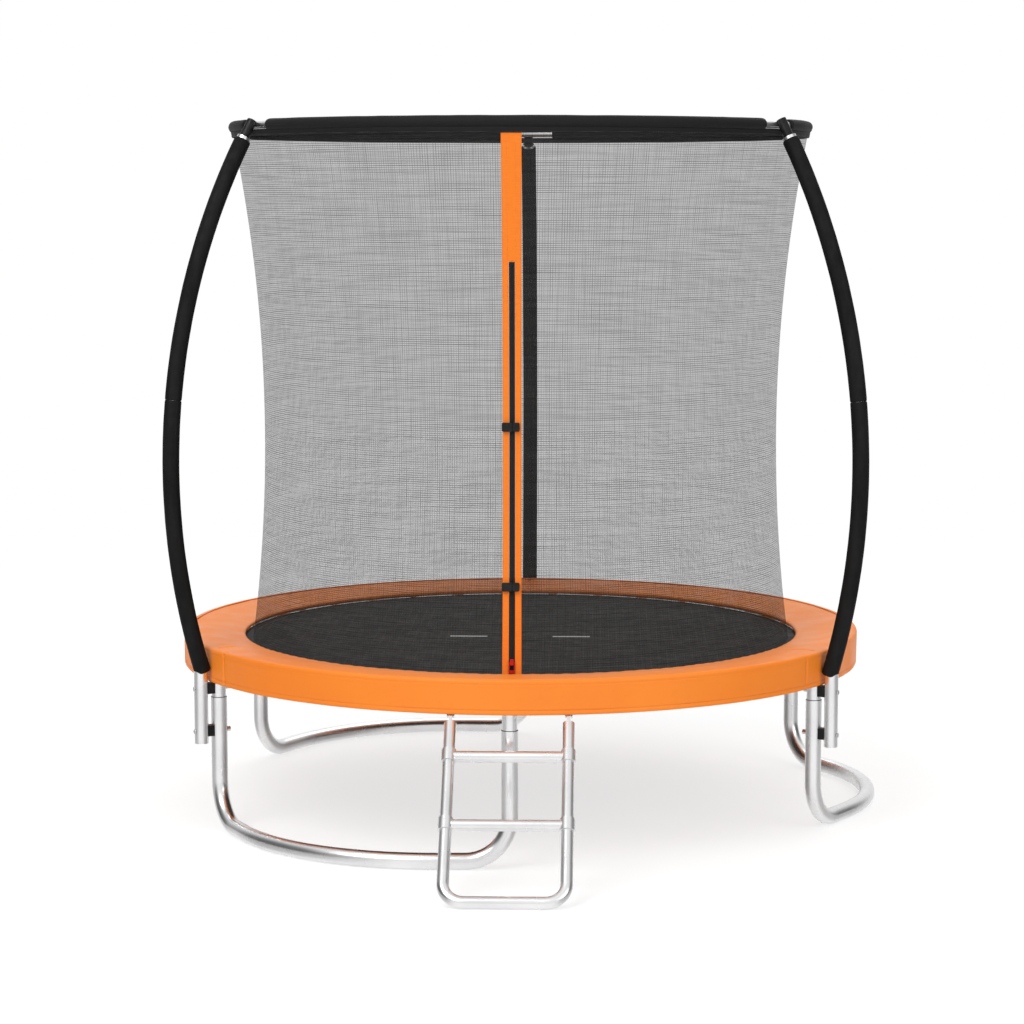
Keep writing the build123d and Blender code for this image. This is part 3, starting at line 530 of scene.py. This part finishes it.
def make_door():
    """Orange webbing: one width above the zip, a strip each side below, stitched along its edges."""
    edge = ZIP_HALF + 0.0004
    across = [-BAND_HALF, -BAND_HALF + 0.0008, -0.019, -0.015, -0.011, -edge - 0.0008, -edge]
    across += [0.0] + [-x for x in reversed(across)]
    low = np.linspace(NET_BOTTOM, ZIP_TOP + 0.0004, 170)
    heights = np.concatenate([low, np.linspace(ZIP_TOP + 0.0004, NET_TOP, 60)[1:]])
    front, back, cloth = [], [], []
    for z in heights:
        front_row, back_row = [], []
        for x in across:
            pucker = 0.00022 * math.sin(z * TAU / 0.012 + x * 60) * (1 if abs(x) > 0.012 else 0.4)
            soft = 0.0003 if abs(abs(x) - BAND_HALF) < 1e-6 else 0.0
            front_row.append(band_point(x, z, 0.0042 + pucker - soft))
            back_row.append(band_point(x, z, 0.0026 + soft))
        front.append(front_row)
        back.append(back_row)
        cloth.append([(x, z, 0.0) for x in across])
    keep = [[z >= ZIP_TOP or j not in (6, 7) for j in range(len(across) - 1)] for z in heights[:-1]]
    band = add_slab("door_band_webbing", np.array(front), np.array(back), BAND, cloth, keep=keep)
    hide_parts("door_band")
    follow_mat(band)
    rows = []
    for x in (-0.0205, -0.0100, 0.0100, 0.0205):
        line = [band_point(x, z, 0.0043) for z in np.linspace(NET_BOTTOM + 0.003, NET_TOP - 0.002, 200)]
        outs = [(0.0, -1.0, 0.0)] * len(line)
        rows.append(follow_mat(add_stitches(f"door_stitching_{len(rows) + 1}", line, outs, THREAD_ORANGE)))


def make_zip():
    """Zip tape with two raised edges and a row of interlocking coil teeth."""
    across = [-ZIP_HALF, -0.0055, -0.0030, -0.0024, 0.0024, 0.0030, 0.0055, ZIP_HALF]
    lift = [0.0010, 0.0012, 0.0012, 0.0014, 0.0014, 0.0012, 0.0012, 0.0010]
    heights = np.linspace(NET_BOTTOM, ZIP_TOP, 150)
    front = np.array([[band_point(x, z, out) for x, out in zip(across, lift)] for z in heights])
    back = np.array([[band_point(x, z, 0.0002) for x in across] for z in heights])
    cloth = [[(x, z, 0.0) for x in across] for z in heights]
    tape = add_slab("zip_tape_cloth", front, back, TAPE, cloth)
    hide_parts("zip_tape")
    follow_mat(tape)
    verts, faces = [], []
    pitch = 0.0026
    for k in range(int((ZIP_TOP - NET_BOTTOM - 0.004) / pitch)):
        z = NET_BOTTOM + 0.002 + k * pitch
        shift = 0.0006 if k % 2 else -0.0006
        base = len(verts)
        for out, half, tall in ((0.0012, 0.0021, 0.0009), (0.0020, 0.0021, 0.0009), (0.0024, 0.0015, 0.0005)):
            for sx, sz in ((-1, -1), (1, -1), (1, 1), (-1, 1)):
                verts.append(band_point(shift + sx * half, z + sz * tall, out))
        for ring in (0, 4):
            for s in range(4):
                a, b = base + ring + s, base + ring + (s + 1) % 4
                faces.append((a, b, b + 4, a + 4))
        faces.append((base + 3, base + 2, base + 1, base))
        faces.append((base + 8, base + 9, base + 10, base + 11))
    teeth = add_object("zip_teeth", verts, faces, BLACK)
    follow_mat(teeth)


# ---- Mat, its border and the springs ----


def make_mat():
    """Stretched jumping mat with a turned edge, and the webbing sewn under its rim."""
    radii = [0.0008] + list(np.linspace(0.03, 0.70, 24)) + [0.722, 0.728, 0.74, 0.752, 0.759, MAT_RADIUS]
    columns = 240
    front, back, cloth = [], [], []
    for i in range(columns):
        angle = i * TAU / columns
        top_row, low_row, flat_row = [], [], []
        for r in radii:
            sag = -0.0012 * max(0.0, 1 - (r / 0.7) ** 2)
            turn = -0.0012 if r >= MAT_RADIUS else (-0.0004 if r < 0.725 else 0.0)
            x, y = r * math.cos(angle), r * math.sin(angle)
            top_row.append((x, y, MAT_TOP - 0.0001 + sag + turn))
            low_row.append((x, y, MAT_TOP - 0.0028 + sag - (turn if r >= MAT_RADIUS else 0)))
            flat_row.append((x, y, 0.0))
        front.append(top_row)
        back.append(low_row)
        cloth.append(flat_row)
    mat = add_slab(
        "jumping_mat", np.array(front)[:, ::-1], np.array(back)[:, ::-1], MAT,
        np.array(cloth)[:, ::-1], wrap=True,
    )
    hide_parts("jump_mat")
    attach(mat, "mat")
    rows = []
    for radius in (0.731, 0.757):
        angles = np.linspace(0, TAU, 500)
        line = [(radius * math.cos(a), radius * math.sin(a), MAT_TOP + 0.0001) for a in angles]
        rows.append(
            add_stitches(
                f"mat_stitching_{len(rows) + 1}", line, [(0, 0, 1)] * 500, THREAD_DARK, 0.005, 0.008, 0.0007
            )
        )
        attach(rows[-1], "mat")
    profile = [(0.7285, -0.0035), (0.7300, -0.0031), (0.745, -0.0031), (0.7600, -0.0031), (0.7615, -0.0035)]
    front, back, cloth = [], [], []
    for i in range(columns):
        angle = i * TAU / columns
        c, s = math.cos(angle), math.sin(angle)
        wave = 0.0002 * math.sin(i * 1.7)
        front.append([(r * c, r * s, MAT_TOP + z) for r, z in profile])
        back.append([(r * c, r * s, MAT_TOP - 0.0046 + wave) for r, _ in profile])
        cloth.append([(angle * 0.745, r, 0.0) for r, _ in profile])
    border = add_slab(
        "mat_border_webbing", np.array(front)[:, ::-1], np.array(back)[:, ::-1], WEBBING,
        np.array(cloth)[:, ::-1], wrap=True,
    )
    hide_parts("mat_border")
    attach(border, "mat")


def make_springs():
    """Extension springs: close coils drawn down to a hook at each end."""
    count, turns, steps = 36, 23, 12
    start, end, radius, wire = 0.789, 0.866, 0.0094, 0.0016
    height = 0.441
    for k in range(count):
        azimuth = SPRING_FIRST + k * 360.0 / count
        a = math.radians(azimuth)
        out = np.array([math.cos(a), math.sin(a), 0.0])
        side = np.array([-math.sin(a), math.cos(a), 0.0])
        up = np.array([0.0, 0.0, 1.0])
        middle = np.array([0.0, 0.0, height])
        line = []
        for t, lift in ((0.7745, 0.0046), (0.7725, 0.0020), (0.7725, -0.0020), (0.7745, -0.0036)):
            line.append(middle + out * t + up * lift)
        line.append(middle + out * 0.780 - up * 0.003)
        total = turns * steps
        for n in range(total + 1):
            share = n / total
            ease = min(1.0, min(n, total - n) / steps)
            r = radius * (0.25 + 0.75 * ease)
            angle = TAU * n / steps - math.pi / 2
            line.append(
                middle + out * (start + (end - start) * share)
                + side * r * math.cos(angle) + up * r * math.sin(angle)
            )
        line.append(middle + out * 0.872)
        line.append(middle + out * 0.8765)
        coil = add_tube(f"spring_{k + 1:02d}", line, wire, ZINC, around=6)
        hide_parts("springs")
        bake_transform(coil)


# ---- Spring pad and skirt ----


def seam_depth(angle, radius, width=0.0035):
    """How near a point is to one of the pad's radial seams, from 0 to 1."""
    best = 0.0
    for pole in POLES:
        bend = 0.0
        if pole != 90.0:
            lean = 1 if pole == 210.0 else -1
            bend = math.radians(5.6) * lean * max(0.0, (radius - 0.895) / 0.027) ** 2
        d = (angle - math.radians(pole) - bend + math.pi) % TAU - math.pi
        best = max(best, math.exp(-((d * radius / width) ** 2)))
    return best


def pad_angles(base=540, near=0.10):
    """Azimuths round the pad, closer together at its seams."""
    angles = list(np.arange(base) * TAU / base)
    for pole in POLES:
        angles += list(math.radians(pole) + np.linspace(-near, near, 90))
    return sorted({round(a % TAU, 6) for a in angles})


def make_pad():
    """Foam-filled pad ring: crowned between its rims, pinched at the three seams."""
    inner, outer, bottom, top, drop = PAD_INNER, 0.9180, 0.4652, 0.4778, 0.0120
    knee = 0.858
    upper = np.linspace(0.0, 1.0, 30)
    angles = pad_angles()
    points, cloth = [], []
    for angle in angles:
        row, flat = [], []
        for t in upper:
            r = inner + 0.004 + (outer - inner - 0.007) * t
            base = top - drop * max(0.0, (knee - r) / (knee - inner))
            crown = 0.0022 * math.sin(math.pi * t) ** 0.8 - 0.0022
            wrinkle = 0.0007 * noise.noise(Vector((math.cos(angle) * 9, math.sin(angle) * 9, t * 1.5)))
            gather = 0.0005 * math.sin(angle * 130 + 2 * math.sin(angle * 7)) * (1 - t) ** 3
            z = base + crown + wrinkle + gather - 0.0055 * seam_depth(angle, r)
            row.append((r, z))
        row.append((outer - 0.0008, top - 0.0045))
        row.append((outer, (top + bottom) / 2))
        row.append((outer - 0.0012, bottom + 0.0015))
        for t in np.linspace(1.0, 0.0, 12):
            r = inner + 0.004 + (outer - inner - 0.008) * t
            row.append((r, bottom - (drop + 0.0014) * max(0.0, (knee - r) / (knee - inner))))
        row.append((inner + 0.0006, bottom - drop + 0.0018))
        row.append((inner + 0.0002, bottom - drop + 0.0062))
        row.append((inner + 0.0010, top - drop - 0.0040))
        length = 0.0
        for n, (r, z) in enumerate(row):
            if n:
                length += math.hypot(r - row[n - 1][0], z - row[n - 1][1])
            flat.append((angle * 0.84, length, 0.0))
        points += [(r * math.cos(angle), r * math.sin(angle), z) for r, z in row]
        cloth += flat
    size = len(row)
    faces = grid_faces(len(angles), size, wrap_rows=True, wrap_columns=True)
    pad = add_object("spring_pad_cushion", points, faces, PAD, cloth)
    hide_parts("spring_pad")
    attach(pad, "frame")
    return pad


def make_skirt():
    """Skirt lapped over the pad's outer edge and hanging outside the ring, with a turned hem."""
    outer = PAD_OUTER - 0.0004
    angles = pad_angles()
    profile = [(0.9035, PAD_TOP + 0.0004), (0.9050, PAD_TOP + 0.0010), (0.9110, PAD_TOP + 0.0006)]
    corner = 0.0085
    for t in np.linspace(0.0, math.pi / 2, 7):
        height = PAD_TOP - corner + 0.0002 + corner * math.cos(t)
        profile.append((outer - corner + corner * math.sin(t), height))
    seam = PAD_TOP - corner - 0.0045
    profile += [(outer, seam + 0.0022), (outer - 0.0009, seam), (outer, seam - 0.0022)]
    drop = np.linspace(seam - 0.006, SKIRT_BOTTOM + 0.0165, 9)
    profile += [(outer, z) for z in drop]
    profile += [(outer, SKIRT_BOTTOM + 0.0135), (outer - 0.0008, SKIRT_BOTTOM + 0.0125)]
    profile += [(outer, SKIRT_BOTTOM + 0.0110), (outer, SKIRT_BOTTOM + 0.003)]
    profile += [(outer - 0.0008, SKIRT_BOTTOM + 0.0004)]
    front, back, cloth = [], [], []
    for angle in angles:
        front_row, back_row, flat_row, length = [], [], [], 0.0
        for n, (r, z) in enumerate(profile):
            low = min(1.0, max(0.0, (PAD_TOP - 0.012 - z) / 0.07))
            x, y = math.cos(angle), math.sin(angle)
            wave = 0.0011 * (noise.noise(Vector((x * 7, y * 7, z * 8))) - 0.6) * low
            ripple = 0.0006 * (noise.noise(Vector((x * 26, y * 26, z * 14 + 5))) - 0.6) * low
            pinch = 0.0022 * seam_depth(angle, 0.9215)
            grow = wave + ripple - pinch
            if z > PAD_TOP - 0.004:
                front_row.append((r * x, r * y, z - pinch * 0.8))
                back_row.append((r * x, r * y, z - 0.0011 - pinch * 0.8))
            else:
                front_row.append(((r + grow) * x, (r + grow) * y, z))
                back_row.append(((r + grow - 0.0014) * x, (r + grow - 0.0014) * y, z))
            if n:
                length += math.hypot(r - profile[n - 1][0], z - profile[n - 1][1])
            flat_row.append((angle * 0.92, length, 0.0))
        front.append(front_row)
        back.append(back_row)
        cloth.append(flat_row)
    skirt = add_slab(
        "pad_skirt_cover", np.array(front)[:, ::-1], np.array(back)[:, ::-1], PAD,
        np.array(cloth)[:, ::-1], wrap=True,
    )
    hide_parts("pad_skirt")
    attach(skirt, "frame")
    turns = np.linspace(0, TAU, 900)
    hem = [(0.9218 * math.cos(a), 0.9218 * math.sin(a), SKIRT_BOTTOM + 0.0125) for a in turns]
    outs = [(math.cos(a), math.sin(a), 0.0) for a in turns]
    hem = np.array(hem) - np.array(outs) * 0.0016
    hem = add_stitches("skirt_hem_stitching", hem, outs, THREAD_ORANGE, 0.0042, 0.006, 0.0005)
    lap = [((outer - 0.0004) * math.cos(a), (outer - 0.0004) * math.sin(a), seam - 0.0045) for a in turns]
    lap = add_stitches("skirt_lap_stitching", lap, outs, THREAD_ORANGE, 0.0042, 0.006, 0.0005)
    for row in (hem, lap):
        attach(row, "frame")


# ---- Foam sleeves and the ring's sleeve ----

POLE_ARC = 1.800
POLE_BELLY = 1.021
POLE_BELLY_Z = 0.950
FOAM_RADIUS = 0.022
FOAM_BORE = 0.0183


def pole_point(azimuth, z):
    return around(azimuth, POLE_BELLY - POLE_ARC + math.sqrt(POLE_ARC**2 - (z - POLE_BELLY_Z) ** 2), z)


def sleeve_tube(name, line, outer, bore, material, seed, wrinkle, circumference):
    """Soft tube with a real bore, rounded ends, small dents and a lengthwise glued seam."""
    line = np.asarray(line, float)
    _, sides, ups = frames_along(line)
    around_count = 40
    steps = len(line)
    length = np.concatenate([[0.0], np.cumsum(np.linalg.norm(np.diff(line, axis=0), axis=1))])
    points, cloth = [], []
    for j in range(around_count):
        angle = j * TAU / around_count
        seam = math.exp(-(((angle - math.pi) / 0.09) ** 2)) * 0.0007
        for k in range(steps):
            edge = min(length[k], length[-1] - length[k])
            soft = 0.0016 * math.exp(-edge / 0.0014)
            where = Vector((math.cos(angle) * 1.4 + seed, math.sin(angle) * 1.4, length[k] * 14))
            dent = wrinkle * noise.noise(where)
            r = outer - 0.0002 - soft - seam - abs(dent)
            points.append(line[k] + (sides[k] * math.cos(angle) + ups[k] * math.sin(angle)) * r)
            cloth.append((angle * circumference / TAU, length[k], 0.0))
        for k in reversed(range(steps)):
            points.append(line[k] + (sides[k] * math.cos(angle) + ups[k] * math.sin(angle)) * bore)
            cloth.append((angle * circumference / TAU, length[k], 0.0))
    faces = grid_faces(around_count, 2 * steps, wrap_rows=True, wrap_columns=True)
    return add_object(name, points, faces, material, cloth)


def with_fine_ends(low, high, count):
    """Steps from low to high with extra ones close to both ends."""
    fine = np.array([0.0, 0.0008, 0.002, 0.004])
    return np.concatenate([low + fine, np.linspace(low + 0.008, high - 0.008, count), high - fine[::-1]])


def make_foam():
    """Foam sleeves on the three net poles, each in two lengths."""
    for number, azimuth in enumerate(POLES, start=1):
        for half in ("lower", "upper"):
            node = f"pole_{number}_{half}_foam"
            bottom, top = (FOAM_BOTTOM, FOAM_JOINT) if half == "lower" else (FOAM_JOINT + 0.0005, FOAM_TOP)
            line = [pole_point(azimuth, z) for z in with_fine_ends(bottom, top, 70)]
            foam = sleeve_tube(
                f"pole_{number}_{half}_foam_sleeve", line, FOAM_RADIUS, FOAM_BORE, FOAM,
                number * 3.1, 0.0005, 0.138,
            )
            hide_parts(node)
            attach(foam, "frame")


def make_ring_sleeve():
    """Sleeve of the top ring in three lengths, with a bare gap beside each pole."""
    gap = math.degrees(0.072 / RING_RADIUS)
    parts = []
    for number, azimuth in enumerate(POLES, start=1):
        span = np.radians(np.linspace(azimuth + gap, azimuth + 120 - gap, 150))
        near, far = span[0] + np.array([0.001, 0.003]), span[-1] - np.array([0.003, 0.001])
        span = np.concatenate([[span[0]], near, span[1:-1], far, [span[-1]]])
        line = [(RING_RADIUS * math.cos(a), RING_RADIUS * math.sin(a), RING_Z) for a in span]
        sleeve = sleeve_tube(
            f"top_ring_sleeve_{number}", line, 0.0160, 0.0103, SLEEVE, number * 7.7, 0.0009, 0.10
        )
        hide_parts("top_ring_sleeve")
        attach(sleeve, "frame")
        parts.append(sleeve)
    return parts


# ---- Studio ----


def make_floor():
    """Pale floor that fades out into the white surroundings."""
    points = []
    for i in range(96):
        a = i * TAU / 96
        for r in np.linspace(0.5, 12.0, 24):
            points.append((r * math.cos(a), r * math.sin(a), 0.0))
    faces = [tuple(reversed(face)) for face in grid_faces(96, 24, wrap_rows=True)]
    points.append((0.0, 0.0, 0.0))
    faces += [(len(points) - 1, i * 24, ((i + 1) % 96) * 24) for i in range(96)]
    f = Finish(
        "floor", Roughness=0.85, Specular_IOR_Level=0.1,
        Emission_Color=rgb(1.0, 1.0, 1.0), Emission_Strength=0.25,
    )
    where = f.place()
    tone = f.span(f.noise(where, 2.0), 0.0, 1.0)
    f.set("Base Color", f.blend(tone, rgb(0.90, 0.90, 0.90), rgb(0.92, 0.92, 0.92)))
    far = f.node("ShaderNodeVectorMath", {0: where}, operation="LENGTH").outputs["Value"]
    f.set("Alpha", f.span(far, FLOOR_SHADE, 0.0, 2.2, 7.0))
    floor = add_object("floor", points, faces, f.material)


def make_world():
    """White surroundings; what lights the object is brighter above and darker at the sides."""
    world = bpy.data.worlds.new("studio")
    world.use_nodes = True
    tree = world.node_tree
    background = tree.nodes["Background"]
    coords = tree.nodes.new("ShaderNodeTexCoord")
    split = tree.nodes.new("ShaderNodeSeparateXYZ")
    tree.links.new(coords.outputs["Generated"], split.inputs[0])
    side = tree.nodes.new("ShaderNodeMath")
    side.operation = "ABSOLUTE"
    tree.links.new(split.outputs["X"], side.inputs[0])
    ramp = tree.nodes.new("ShaderNodeMapRange")
    ramp.interpolation_type = "SMOOTHSTEP"
    ramp.inputs["From Min"].default_value = 0.45
    ramp.inputs["From Max"].default_value = 0.95
    ramp.inputs["To Min"].default_value = WORLD_BRIGHT
    ramp.inputs["To Max"].default_value = WORLD_DARK
    tree.links.new(side.outputs[0], ramp.inputs["Value"])
    tree.links.new(ramp.outputs["Result"], background.inputs["Strength"])
    background.inputs["Color"].default_value = rgb(1.0, 1.0, 1.0)
    seen = tree.nodes.new("ShaderNodeBackground")
    seen.inputs["Strength"].default_value = 1.0
    path = tree.nodes.new("ShaderNodeLightPath")
    mix = tree.nodes.new("ShaderNodeMixShader")
    output = tree.nodes["World Output"]
    tree.links.new(path.outputs["Is Camera Ray"], mix.inputs["Fac"])
    tree.links.new(background.outputs[0], mix.inputs[1])
    seen.inputs["Color"].default_value = rgb(1.0, 1.0, 1.0)
    tree.links.new(seen.outputs[0], mix.inputs[2])
    tree.links.new(mix.outputs[0], output.inputs["Surface"])
    bpy.context.scene.world = world


def add_area(name, place, target, size, power):
    data = bpy.data.lights.new(name, "AREA")
    data.shape = "RECTANGLE"
    data.size, data.size_y = size
    data.energy = power
    light = bpy.data.objects.new(name, data)
    light.location = place
    light.rotation_euler = (Vector(target) - Vector(place)).to_track_quat("-Z", "Y").to_euler()
    bpy.context.scene.collection.objects.link(light)


def make_camera():
    data = bpy.data.cameras.new("camera")
    data.sensor_width = 36.0
    data.lens = 100.06
    data.shift_x = -0.00836
    data.dof.use_dof = False
    data.clip_end = 200.0
    camera = bpy.data.objects.new("camera", data)
    camera.location = (0.2315, -7.7655, 1.6635)
    pitch = math.radians(6.447)
    heading = Vector((-0.0298, 0.9996, 0.0)).normalized() * math.cos(pitch)
    heading.z = -math.sin(pitch)
    camera.rotation_euler = heading.to_track_quat("-Z", "Y").to_euler()
    bpy.context.scene.collection.objects.link(camera)
    bpy.context.scene.camera = camera


SPRING_FIRST = 5.0
dress_frame()
make_net()
make_hem()
make_leg_seat_shade_rings()
make_door()
make_zip()
make_mat()
make_springs()
make_pad()
make_skirt()
make_foam()
make_ring_sleeve()
make_floor()
make_world()
add_area("key", (-3.0, -4.5, 5.5), (0, 0, 0.8), (3.5, 3.5), 210.0)
add_area("fill", (4.5, -4.0, 3.2), (0, 0, 0.8), (3.0, 3.0), 75.0)
add_area("rear", (0.5, 4.5, 5.0), (0, 0, 0.6), (4.0, 3.0), 50.0)
make_camera()
bpy.context.scene.view_settings.view_transform = "Standard"
